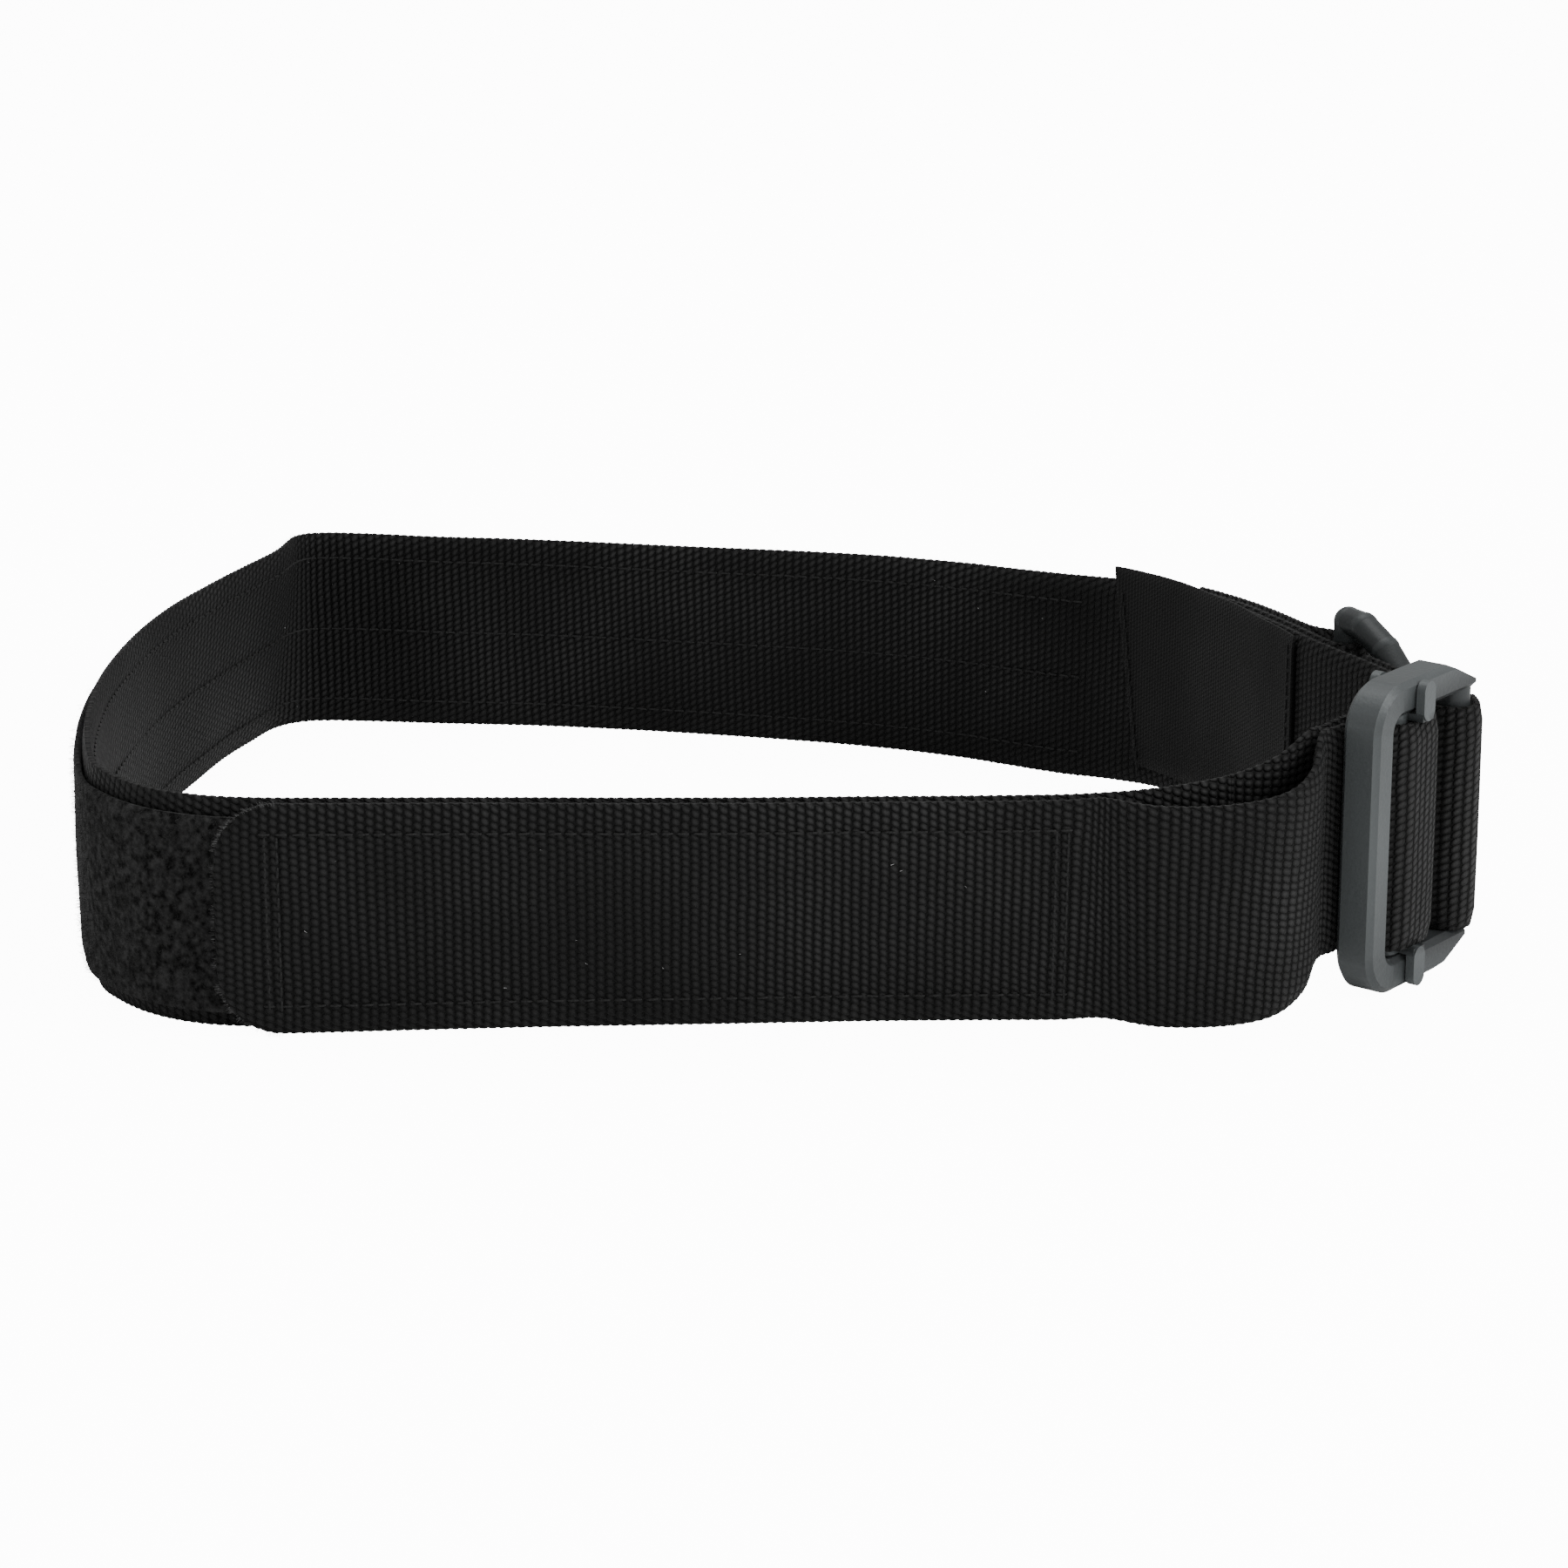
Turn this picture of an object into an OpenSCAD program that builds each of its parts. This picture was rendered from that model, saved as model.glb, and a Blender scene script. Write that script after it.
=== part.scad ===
// Rescue belt strap: a closed loop of heavy webbing with a friction adapter,
// a V-ring and a hook-and-loop tail. Millimetres, +Z up, standing on its lower edge.
// Origin: middle of the bounding box, at the height of the surface it stands on.

/* [Webbing] */
// Width of the webbing
webbing_w = 44.45; // [43:0.05:45]
// Thickness of one ply
webbing_t = 2.2; // [1.8:0.1:2.4]
// Radius of the tail's two tip corners
tip_r = 12; // [6:1:20]

/* [Tapes] */
// Width of the hook and pile tapes
tape_w = 38.1; // [30:0.1:40]
// Thickness of the pile tape
pile_t = 1.6; // [1:0.1:1.8]
// Thickness of the hook tape
hook_t = 1.2; // [0.8:0.1:1.4]
// Thickness of the liner panel
liner_t = 0.9; // [0.5:0.1:1.2]
// Diameter of the sewing thread
thread_d = 0.6; // [0.3:0.1:0.8]

/* [Adapter] */
// Overall height of the adapter frame
frame_h = 61; // [60:0.5:64]
// Distance between the near bar's and the far bar's middles
bar_pitch = 31; // [30:0.5:34]
// Width of each side of the frame, in its own plane
side_w = 6.5; // [6:0.1:6.8]
// Thickness of the frame
frame_t = 8; // [7:0.1:8.4]
// Width of the slide bar's flat body
slide_w = 11.2; // [9:0.1:12]
// Thickness of the slide bar's body
slide_t = 5; // [4:0.1:5]

/* [V-ring] */
// Radius of the ring's rod
ring_r = 2.9; // [2.6:0.1:3]
// Clear length of the ring's straight bar
ring_clear = 46; // [45:0.5:46.5]
// Distance from the straight bar to the point of the V
ring_reach = 32; // [30:0.5:36]

/* [Hidden] */

// Gap between faces that lie on each other but move apart
gap = 0.3;
// Gap between layers that are sewn together
lay = 0.2;
// Stations made between two neighbouring points of a route
steps = 4;
// Moves the plan so that the bounding box is centred on the origin
shift = [3.29, 2.54];

// Adapter pose: the near bar's middle and the direction from the near bar to the far bar
adapter_angle = 52;
near_bar = [109, -86] + shift;
along = [cos(adapter_angle), sin(adapter_angle)];
outside = [sin(adapter_angle), -cos(adapter_angle)];
far_bar = near_bar + bar_pitch * along;
// Lower edge of the webbing at the far bar and at the slide bar
fold_z = side_w + gap;
wrap_z = (frame_h - webbing_w) / 2;

// Main ply, from the far bar round the back, the left end and the front to the near bar:
// [x, y, height of the lower edge, how far the top edge stands outside the lower edge]
ROUTE = [
    [123.5, -61.5, 6.8, 0], [122, -50, 6.8, 0], [117, -37, 6.8, 0], [107, -18.5, 6.8, 0],
    [101, -2, 6, 0], [93, 17.5, 5, 0], [82, 37.5, 3.5, 0], [71.5, 49, 2.2, 0.5],
    [60, 57, 1.2, 1], [49.5, 65, 0.6, 0], [38, 73, 0.2, -1], [16, 82.5, 0, -2.5],
    [-19, 91.5, 0, -5], [-55, 98, 0, -5], [-79, 100, 0, -4], [-92, 101.5, 0, -3],
    [-104, 102.5, 0, -3], [-111, 101, 0, -4], [-116.5, 95.5, 0, -6.5], [-120.5, 85, 0, -8],
    [-125, 72, 0, -7.5], [-129, 55.5, 0, -5.5], [-133.5, 35, 0, -3.5], [-136.5, 12, 0, -2],
    [-137.5, -15, 0, -0.5], [-136.8, -38, 0, 0], [-134.8, -58, 0, 0], [-131, -78, 0, 0],
    [-126, -87.5, 0, 0], [-118.5, -95.5, 0, 0], [-109, -100.5, 0, 0], [-98, -102, 0, 0.5],
    [-84, -101.5, 0, 1.2], [-65, -100, 0, 2.5], [-45, -98.5, 0, 4], [-26, -97.5, 0, 5.2],
    [-6, -96.5, 0, 6], [13, -95.5, 0, 6.4], [33, -95, 0, 6.4], [52, -94.5, 0, 6],
    [68, -93.5, 0.6, 5], [82, -91.5, 2, 3.2], [91, -90, 4.6, 1.4], [97.8, -86.8, 8.3, 0]
];
// The tail between the peel line and the near bar, in the same form
TAIL_END = [
    [70, -102.5, 0, 5.5], [82, -103, 0.4, 5], [91, -100.6, 1.6, 3.6], [96.8, -95.2, 4.4, 1.6],
    [99.9, -88.4, 8.3, 0]
];
// The turn round the slide bar: [along the adapter, outside its middle plane]
WRAP = [
    [4.2, -8.3], [9, -8.1], [14.5, -7], [18.6, -4.4], [20, -0.5], [18.2, 3], [15, 4.1],
    [11, 4.1], [7.6, 3.9], [5.3, 2.2], [4.85, -0.6], [4.85, -2.8], [4.2, -4.6], [3.3, -5.5], [2.2, -5.75]
];

// Places along the route, counted in its points
return_at = [0.4, 2.4];
ring_at = 3;
keeper_end_at = 5.8;
liner_at = [3.4, 7.2];
pile_at = [7.6, 39.4];
tail_at = [30.45, 39.42];
hook_at = [31, 39.1];

// Offsets of each layer's middle, outwards from the main ply's middle
ply_out = webbing_t + lay;
pile_out = webbing_t / 2 + lay + pile_t / 2;
liner_out = -(webbing_t / 2 + lay + liner_t / 2);
hook_out = webbing_t / 2 + lay + pile_t + gap + hook_t / 2;
tail_out = hook_out + hook_t / 2 + lay + webbing_t / 2;
thread_out = webbing_t / 2 + lay + thread_d / 2;
tape_z = (webbing_w - tape_w) / 2;
// The tail sits this much higher than the ply behind it
tail_lift = 0.7;

// ---- Routes and bands ----

// Catmull-Rom point between b and c
function curve(a, b, c, d, t) = 0.5 * (
    2 * b + (c - a) * t + (2 * a - 5 * b + 4 * c - d) * t * t + (3 * b - a - 3 * c + d) * t * t * t
);
function held(i, n) = max(0, min(n, i));
// Point of a route at t, where whole numbers are its own points
function at(route, t) =
    let (n = len(route) - 1, i = held(floor(t), n - 1))
    curve(route[held(i - 1, n)], route[i], route[i + 1], route[held(i + 2, n)], t - i);
function unit(v) = v / norm(v);
function right_of(v) = [v[1], -v[0]];
// Direction to the right of travel, which is outwards on the main route
function outward(route, t) =
    let (a = at(route, max(0, t - 0.02)), b = at(route, min(len(route) - 1, t + 0.02)))
    right_of(unit([b[0] - a[0], b[1] - a[1]]));
function ease(f) = f * f * (3 - 2 * f);

// A station of a band: [x, y, outward x, outward y, lower height, upper height, lean, height of no lean]
function station(route, t, out, low, high) =
    let (p = at(route, t), n = outward(route, t), z = max(0, p[2]))
    [p[0] + out * n[0], p[1] + out * n[1], n[0], n[1], z + low, z + high, p[3], z];
function flip(s) = [s[0], s[1], -s[2], -s[3], s[4], s[5], -s[6], s[7]];
// Every station at a whole fraction of a step, so that layers on one route share their corners
function ticks(from, to) = [
    from,
    for (k = [floor(from * steps) + 1:ceil(to * steps) - 1]) k / steps,
    to
];
function stations(route, from, to, out, low, high) =
    [for (t = ticks(from, to)) station(route, t, out, low, high)];
// Stations clockwise round a plan centre, through half a turn
function half_turn(centre, r, from, z, high) = [
    for (a = [from:-15:from - 180])
    [centre[0] + r * cos(a), centre[1] + r * sin(a), -cos(a), -sin(a), z, z + high, 0, z]
];

// A corner of a station's section, at a distance outwards and a height
function corner(s, side, z) =
    let (o = side + s[6] * (z - s[7]) / webbing_w)
    [s[0] + o * s[2], s[1] + o * s[3], z];
function section(s, t) = [
    corner(s, -t / 2, s[4]), corner(s, t / 2, s[4]), corner(s, t / 2, s[5]), corner(s, -t / 2, s[5])
];

// Closed solid of thickness t through a list of stations
module band(list, t) {
    n = len(list) - 1;
    sides = [
        for (i = [0:n - 1]) for (k = [0:3])
        let (a = 4 * i + k, b = 4 * i + (k + 1) % 4)
        each [[a, b, b + 4], [a, b + 4, a + 4]]
    ];
    caps = [[0, 2, 1], [0, 3, 2], [4 * n, 4 * n + 1, 4 * n + 2], [4 * n, 4 * n + 2, 4 * n + 3]];
    polyhedron(points = [for (s = list) each section(s, t)], faces = concat(sides, caps), convexity = 10);
}

MAIN = [for (p = ROUTE) p + [shift[0], shift[1], 0, 0]];
last = len(MAIN) - 1;
function on_tail(t) = let (s = station(MAIN, t, tail_out, tail_lift, 0)) [s[0], s[1], s[4], s[6]];
ROOT = concat(
    [for (t = [tail_at[1] - 1, tail_at[1]]) on_tail(t)],
    [for (p = TAIL_END) p + [shift[0], shift[1], 0, 0]]
);
function in_adapter(p) = let (q = near_bar + p[0] * along + p[1] * outside) [q[0], q[1], wrap_z, 0];
WRAP_ROUTE = [for (p = WRAP) in_adapter(p)];

webbing_colour = [0.06, 0.06, 0.065];
metal_colour = [0.3, 0.33, 0.34];
thread_colour = [0.12, 0.12, 0.12];

// ---- Webbing ----

fold_r = side_w / 2 + gap + webbing_t / 2;
// Direction of the outer leg from the far bar's middle
fold_from = 8;

// The return ply lies on the main ply and spreads to pass the far bar
function return_out(f) = ply_out + (2 * fold_r - ply_out) * pow(f, 5);

module strap_main() {
    color(webbing_colour)
    band(concat(
        [for (k = [0:8])
            let (t = return_at[1] + (return_at[0] - return_at[1]) * k / 8)
            flip(station(MAIN, t, return_out(k / 8), 0, webbing_w))],
        half_turn(far_bar, fold_r, fold_from, fold_z, webbing_w),
        stations(MAIN, return_at[0], last, 0, 0, webbing_w)
    ), webbing_t);
}

module strap_root() {
    color(webbing_colour)
    band(stations(ROOT, 1.13, len(ROOT) - 1, 0, 0, webbing_w), webbing_t);
}

// The two plies behind the near bar: the loaded one and the tail
module strap_pass() {
    color(webbing_colour) {
        band(stations([in_adapter([-6, -8.3]), in_adapter([3.9, -8.3])], 0, 1, 0, 0, webbing_w), webbing_t);
        band(stations([in_adapter([-6, -5.75]), in_adapter([1.7, -5.75])], 0, 1, 0, 0, webbing_w), webbing_t);
    }
}

module strap_wrap() {
    color(webbing_colour)
    band(stations(WRAP_ROUTE, 0, len(WRAP) - 1, 0, 0, webbing_w), webbing_t);
}

// How much a round corner takes off the tail's edge at a distance from its tip
function tip_cut(d) = d >= tip_r ? 0 : tip_r - sqrt(tip_r * tip_r - (tip_r - d) * (tip_r - d));
tip_length = 14;
tip_end_at = 31.5;

module strap_tail() {
    tip = [
        for (a = [0:10:90])
        let (d = tip_r * (1 - cos(a)) + 0.05, t = tail_at[0] + (tip_end_at - tail_at[0]) * d / tip_length)
        station(MAIN, t, tail_out, tail_lift + tip_cut(d), tail_lift + webbing_w - tip_cut(d))
    ];
    color(webbing_colour)
    band(concat(
        tip, stations(MAIN, tip_end_at, tail_at[1], tail_out, tail_lift, tail_lift + webbing_w)
    ), webbing_t);
}

// ---- Tapes, liner and keeper ----

module pile_tape() {
    color([0.03, 0.03, 0.03])
    band(stations(MAIN, pile_at[0], pile_at[1], pile_out, tape_z, tape_z + tape_w), pile_t);
}

module hook_tape() {
    z = tape_z + tail_lift;
    color([0.04, 0.04, 0.04])
    band(stations(MAIN, hook_at[0], hook_at[1], hook_out, z, z + tape_w), hook_t);
}

// The liner is sewn on a little askew: its rear end stands above the webbing's top edge
liner_rise = 3.5;
module liner_panel() {
    span = liner_at[1] - liner_at[0];
    color([0.07, 0.07, 0.075])
    band([
        for (t = ticks(liner_at[0], liner_at[1]))
        let (rise = liner_rise * (t - liner_at[0]) / span)
        station(MAIN, t, liner_out, 0.8 + rise, webbing_w - 0.2 + rise)
    ], liner_t);
}

keeper_r = ring_r + 0.4 + webbing_t / 2;
function keeper_out(f) = 2 * ply_out + (2 * keeper_r - ply_out) * ease(max(0, 3 * f - 2));
ring_bar = let (s = station(MAIN, ring_at, ply_out + keeper_r, 0, 0)) [s[0], s[1]];
ring_outward = outward(MAIN, ring_at);
ring_angle = atan2(ring_outward[1], ring_outward[0]);

module ring_keeper() {
    span = keeper_end_at - ring_at;
    list = ticks(ring_at, keeper_end_at);
    outer = [
        for (i = [len(list) - 1:-1:0])
        flip(station(MAIN, list[i], keeper_out((keeper_end_at - list[i]) / span), 0, webbing_w))
    ];
    color(webbing_colour)
    band(concat(
        outer,
        half_turn(ring_bar, keeper_r, ring_angle, fold_z, webbing_w),
        stations(MAIN, ring_at, keeper_end_at, ply_out, 0, webbing_w)
    ), webbing_t);
}

// ---- Adapter ----

// Middle line's radius at the near corners, and the flat taken off every long edge
corner_bend = 6;
edge_flat = 1.1;

// Section of the frame's members: width to the outside of the frame, thickness upwards
module member_section() {
    w = side_w / 2;
    t = frame_t / 2;
    polygon([
        [-w, -t + edge_flat], [-w + edge_flat, -t], [w - edge_flat, -t], [w, -t + edge_flat],
        [w, t - edge_flat], [w - edge_flat, t], [-w + edge_flat, t], [-w, t - edge_flat]
    ]);
}

// Turns a drawing made flat, X along the adapter and Y up it, into the adapter's own plane
module stand() {
    translate([near_bar[0], near_bar[1], 0])
    rotate([0, 0, adapter_angle])
    rotate([90, 0, 0])
    children();
}

// Where the slope at each rail's far end starts, and its angle
slope_from = 22.5;
end_slope = 25;
// Size of the cone at each end of the far bar
far_cone = 1.2;

// The lower half of the frame: half of the near bar, a bent corner, a rail and its sloping end
module frame_half() {
    rail_y = side_w / 2;
    corner_y = rail_y + corner_bend;
    end_x = bar_pitch + 1.5;
    translate([0, corner_y, 0]) rotate([-90, 0, 0])
        linear_extrude(frame_h / 2 - corner_y) rotate([0, 0, 180]) member_section();
    translate([corner_bend, corner_y, 0]) rotate([0, 0, 180])
        rotate_extrude(angle = 90, $fn = 96) translate([corner_bend, 0]) member_section();
    difference() {
        translate([corner_bend, rail_y, 0]) rotate([0, 90, 0]) rotate([0, 0, -90])
            linear_extrude(end_x - corner_bend) rotate([0, 0, 180]) member_section();
        translate([slope_from, 0, -frame_t]) rotate([0, 0, end_slope])
            translate([0, -2 * side_w, 0]) cube([6 * side_w, 2 * side_w, 2 * frame_t]);
    }
}

module adapter_frame() {
    color(metal_colour)
    union() {
        stand() frame_half();
        translate([0, 0, frame_h]) mirror([0, 0, 1]) stand() frame_half();
        for (flip = [0, 1])
            translate([0, 0, flip * frame_h]) mirror([0, 0, flip])
                translate([far_bar[0], far_bar[1], side_w - 2])
                cylinder(r1 = side_w / 2 - far_cone, r2 = side_w / 2, h = far_cone, $fn = 64);
        translate([far_bar[0], far_bar[1], side_w - 2 + far_cone])
            cylinder(r = side_w / 2, h = frame_h - 2 * (side_w - 2 + far_cone), $fn = 64);
    }
}

slide_at = 11.65;
lug_w = 4;
lug_t = 1.8;
lug_top = 8.1;
lug_web = 1.4;

// A round-ended tab standing on the frame's face
module lug() {
    r = lug_w / 2;
    for (z = [r + 0.3, lug_top - r])
        translate([0, 0, z]) rotate([90, 0, 0]) cylinder(r = r, h = lug_t, center = true, $fn = 48);
    translate([-r, -lug_t / 2, r + 0.3]) cube([lug_w, lug_t, lug_top - 2 * r - 0.3]);
}

// The lower end of the slide bar: a web with a lug over each face of the rail
module slide_end() {
    half = frame_t / 2 + gap + lug_t;
    translate([slide_at - lug_w / 2, -half + 0.2, side_w + 0.15]) cube([lug_w, 2 * half - 0.4, lug_web]);
    for (side = [-1, 1])
        translate([slide_at, side * (half - lug_t / 2), 0]) lug();
}

module slide_bar() {
    half_flat = (slide_w - slide_t) / 2;
    color(metal_colour)
    translate([near_bar[0], near_bar[1], 0])
    rotate([0, 0, adapter_angle])
    union() {
        translate([0, 0, side_w + 0.15]) {
            length = frame_h - 2 * side_w - 0.3;
            for (x = [-half_flat, half_flat])
                translate([slide_at + x, 0, 0]) cylinder(d = slide_t, h = length, $fn = 48);
            translate([slide_at - half_flat, -slide_t / 2, 0]) cube([2 * half_flat, slide_t, length]);
        }
        slide_end();
        translate([0, 0, frame_h]) mirror([0, 0, 1]) slide_end();
    }
}

// ---- V-ring ----

ring_z = fold_z + webbing_w / 2;
// The ring points forwards from its bar and rests on the fold's stitching
ring_turn = ring_angle - 90 + 6.5;
ring_straight = 5;

// The forged corners are this much fuller than the rod
corner_r = ring_r + 0.1;

// A round rod between two points of the ring's plane, with a full corner at the first
module rod(a, b) {
    d = b - a;
    translate([a[0], 0, a[1]]) {
        sphere(r = corner_r, $fn = 64);
        rotate([0, atan2(d[0], d[1]), 0]) cylinder(r = ring_r, h = norm(d), $fn = 64);
    }
}

module v_ring() {
    half = ring_clear / 2 + ring_r;
    lower = [
        [0, -half], [ring_straight, -half], [0.38 * ring_reach, -0.88 * half],
        [0.6 * ring_reach, -0.66 * half], [0.8 * ring_reach, -0.38 * half], [ring_reach, -0.08 * half]
    ];
    points = concat(lower, [for (i = [len(lower) - 1:-1:0]) [lower[i][0], -lower[i][1]]]);
    color(metal_colour)
    translate([ring_bar[0], ring_bar[1], ring_z])
    rotate([0, 0, ring_turn])
    union() {
        for (i = [0:len(points) - 1]) rod(points[i], points[(i + 1) % len(points)]);
    }
}

// ---- Stitching ----

stitch_l = 2.4;
stitch_pitch = 3.4;

// A lengthwise row of thread, drawn as one line on a face
module row(from, to, out, z) {
    band(stations(MAIN, from, to, out, z, z + thread_d), thread_d);
}

// An upright row of stitches on a face at one place of the route
module upright_row(t, out, low, high) {
    s = station(MAIN, t, out, 0, webbing_w);
    for (z = [low:stitch_pitch:high - stitch_l]) {
        p = corner(s, 0, s[4] + z + stitch_l / 2);
        translate([p[0], p[1], s[4] + z]) cylinder(d = thread_d, h = stitch_l, $fn = 16);
    }
}

module pile_stitching() {
    color(thread_colour)
    for (z = [tape_z + 2, webbing_w / 2, webbing_w - tape_z - 2])
        row(pile_at[0] + 0.1, pile_at[1] - 0.1, -thread_out, z);
}

module tail_side_stitching() {
    color(thread_colour)
    for (z = [tape_z + 2, webbing_w - tape_z - 2])
        row(hook_at[0] + 0.4, hook_at[1] - 0.3, tail_out + thread_out, z + tail_lift);
}

module tail_tip_stitching() {
    color(thread_colour)
    for (t = [31.2, 31.36])
        upright_row(t, tail_out + thread_out, tape_z + 3, webbing_w - tape_z);
}

module tail_end_stitching() {
    color(thread_colour)
    for (t = [38.9, 39])
        upright_row(t, tail_out + thread_out, tape_z + 3, webbing_w - tape_z);
}

module liner_stitching() {
    color(thread_colour)
    for (t = [liner_at[0] + 0.12, liner_at[1] - 0.15])
        upright_row(t, liner_out - liner_t / 2 - lay - thread_d / 2, 4, webbing_w - 2);
}

module fold_stitching() {
    color(thread_colour)
    for (t = [1.7, 2.1])
        upright_row(t, ply_out + thread_out, 3, webbing_w - 3);
}

module keeper_stitching() {
    color(thread_colour)
    for (t = [4.3, 5.1, 5.7])
        upright_row(t, 2 * ply_out + thread_out, 3, webbing_w - 3);
}

strap_main();
strap_root();
strap_pass();
strap_wrap();
strap_tail();
pile_tape();
hook_tape();
liner_panel();
ring_keeper();
adapter_frame();
slide_bar();
v_ring();
pile_stitching();
tail_side_stitching();
tail_tip_stitching();
tail_end_stitching();
liner_stitching();
fold_stitching();
keeper_stitching();
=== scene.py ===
"""Rescue belt strap: webbing loop with hook and pile tape, a slide-bar adapter and a V-ring."""

import math
import random

import bmesh
import bpy
import numpy as np
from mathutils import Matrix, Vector


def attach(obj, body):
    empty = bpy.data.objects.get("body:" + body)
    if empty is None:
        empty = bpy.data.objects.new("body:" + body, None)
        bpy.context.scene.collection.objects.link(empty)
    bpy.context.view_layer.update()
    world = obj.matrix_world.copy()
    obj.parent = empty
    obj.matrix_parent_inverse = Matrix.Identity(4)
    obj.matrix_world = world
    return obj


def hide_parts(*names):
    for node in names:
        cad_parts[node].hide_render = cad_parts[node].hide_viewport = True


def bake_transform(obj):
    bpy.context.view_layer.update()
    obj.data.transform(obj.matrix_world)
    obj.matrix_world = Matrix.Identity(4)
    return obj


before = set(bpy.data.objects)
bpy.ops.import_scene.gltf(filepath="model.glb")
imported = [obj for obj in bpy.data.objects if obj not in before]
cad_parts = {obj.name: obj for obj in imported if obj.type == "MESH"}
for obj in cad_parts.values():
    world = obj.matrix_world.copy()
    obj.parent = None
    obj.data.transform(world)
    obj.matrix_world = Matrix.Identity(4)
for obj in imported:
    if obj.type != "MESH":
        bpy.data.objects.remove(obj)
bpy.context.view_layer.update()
MM = 0.001

# ---- Sizes, in metres ----

WEB_W = 44.45 * MM
WEB_T = 2.2 * MM
TAPE_W = 38.1 * MM
PILE_T = 1.6 * MM
HOOK_T = 1.2 * MM
LINER_T = 0.9 * MM
LAY = 0.2 * MM
GAP = 0.3 * MM
RIB = 1.75 * MM
BEAD = 1.5 * MM
SIDE_W = 6.5 * MM
BAR_PITCH = 31 * MM

SHIFT = (3.29, 2.54)
ADAPTER_ANGLE = math.radians(52)
ALONG = Vector((math.cos(ADAPTER_ANGLE), math.sin(ADAPTER_ANGLE), 0))
OUTSIDE = Vector((math.sin(ADAPTER_ANGLE), -math.cos(ADAPTER_ANGLE), 0))
NEAR_BAR = Vector(((109 + SHIFT[0]) * MM, (-86 + SHIFT[1]) * MM, 0))
FAR_BAR = NEAR_BAR + BAR_PITCH * ALONG

# The main ply in mm, as in the part: [x, y, height of the lower edge, lean of the top edge outwards]
ROUTE = [
    [123.5, -61.5, 6.8, 0], [122, -50, 6.8, 0], [117, -37, 6.8, 0], [107, -18.5, 6.8, 0],
    [101, -2, 6, 0], [93, 17.5, 5, 0], [82, 37.5, 3.5, 0], [71.5, 49, 2.2, 0.5],
    [60, 57, 1.2, 1], [49.5, 65, 0.6, 0], [38, 73, 0.2, -1], [16, 82.5, 0, -2.5],
    [-19, 91.5, 0, -5], [-55, 98, 0, -5], [-79, 100, 0, -4], [-92, 101.5, 0, -3],
    [-104, 102.5, 0, -3], [-111, 101, 0, -4], [-116.5, 95.5, 0, -6.5], [-120.5, 85, 0, -8],
    [-125, 72, 0, -7.5], [-129, 55.5, 0, -5.5], [-133.5, 35, 0, -3.5], [-136.5, 12, 0, -2],
    [-137.5, -15, 0, -0.5], [-136.8, -38, 0, 0], [-134.8, -58, 0, 0], [-131, -78, 0, 0],
    [-126, -87.5, 0, 0], [-118.5, -95.5, 0, 0], [-109, -100.5, 0, 0], [-98, -102, 0, 0.5],
    [-84, -101.5, 0, 1.2], [-65, -100, 0, 2.5], [-45, -98.5, 0, 4], [-26, -97.5, 0, 5.2],
    [-6, -96.5, 0, 6], [13, -95.5, 0, 6.4], [33, -95, 0, 6.4], [52, -94.5, 0, 6],
    [68, -93.5, 0.6, 5], [82, -91.5, 2, 3.2], [91, -90, 4.6, 1.4], [97.8, -86.8, 8.3, 0],
]
TAIL_END = [
    [70, -102.5, 0, 5.5], [82, -103, 0.4, 5], [91, -100.6, 1.6, 3.6], [96.8, -95.2, 4.4, 1.6],
    [99.9, -88.4, 8.3, 0],
]
# Round the slide bar, in mm: [along the adapter, outside its middle plane]
WRAP = [
    [4.2, -8.3], [9, -8.1], [14.5, -7], [18.6, -4.4], [20, -0.5], [18.2, 3], [15, 4.1],
    [11, 4.1], [7.6, 3.9], [5.3, 2.2], [4.85, -0.6], [4.85, -2.8], [4.2, -4.6], [3.3, -5.5],
    [2.2, -5.75],
]
PLY_OUT = WEB_T + LAY
PILE_OUT = WEB_T / 2 + LAY + PILE_T / 2
LINER_OUT = -(WEB_T / 2 + LAY + LINER_T / 2)
HOOK_OUT = WEB_T / 2 + LAY + PILE_T + GAP + HOOK_T / 2
TAIL_OUT = HOOK_OUT + HOOK_T / 2 + LAY + WEB_T / 2
TAIL_LIFT = 0.7 * MM
WRAP_Z = 61 / 2 * MM - WEB_W / 2
FOLD_Z = 6.8 * MM

# Places along the route, counted in its points
RETURN_AT = (0.4, 2.4)
RING_AT = 3
KEEPER_END_AT = 5.8
LINER_AT = (3.4, 7.0)
PILE_AT = (7.6, 39.4)
TAIL_TIP_AT = 30.45
PEEL_AT = 39.42
FRONT_AT = 41


# ---- Routes ----


def in_metres(points):
    """Route points in mm before the shift, as arrays in metres in the row frame."""
    return [np.array([p[0] + SHIFT[0], p[1] + SHIFT[1], p[2], p[3]]) * MM for p in points]


MAIN = in_metres(ROUTE)


def curve(a, b, c, d, t):
    """Catmull-Rom point between b and c."""
    squared = (2 * a - 5 * b + 4 * c - d) * t * t
    cubed = (3 * b - a - 3 * c + d) * t**3
    return 0.5 * (2 * b + (c - a) * t + squared + cubed)


def at(route, t):
    n = len(route) - 1
    i = max(0, min(n - 1, math.floor(t)))
    points = [route[max(0, min(n, k))] for k in (i - 1, i, i + 1, i + 2)]
    return curve(*points, t - i)


def outward(route, t):
    a = at(route, max(0, t - 0.02))
    b = at(route, min(len(route) - 1, t + 0.02))
    d = b - a
    length = math.hypot(d[0], d[1])
    return np.array([d[1] / length, -d[0] / length])


def spot(route, t, out):
    """[x, y, outward x, outward y, lower edge, lean] at a place on a route."""
    p = at(route, t)
    n = outward(route, t)
    return np.array([p[0] + out * n[0], p[1] + out * n[1], n[0], n[1], max(0, p[2]), p[3]])


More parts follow.
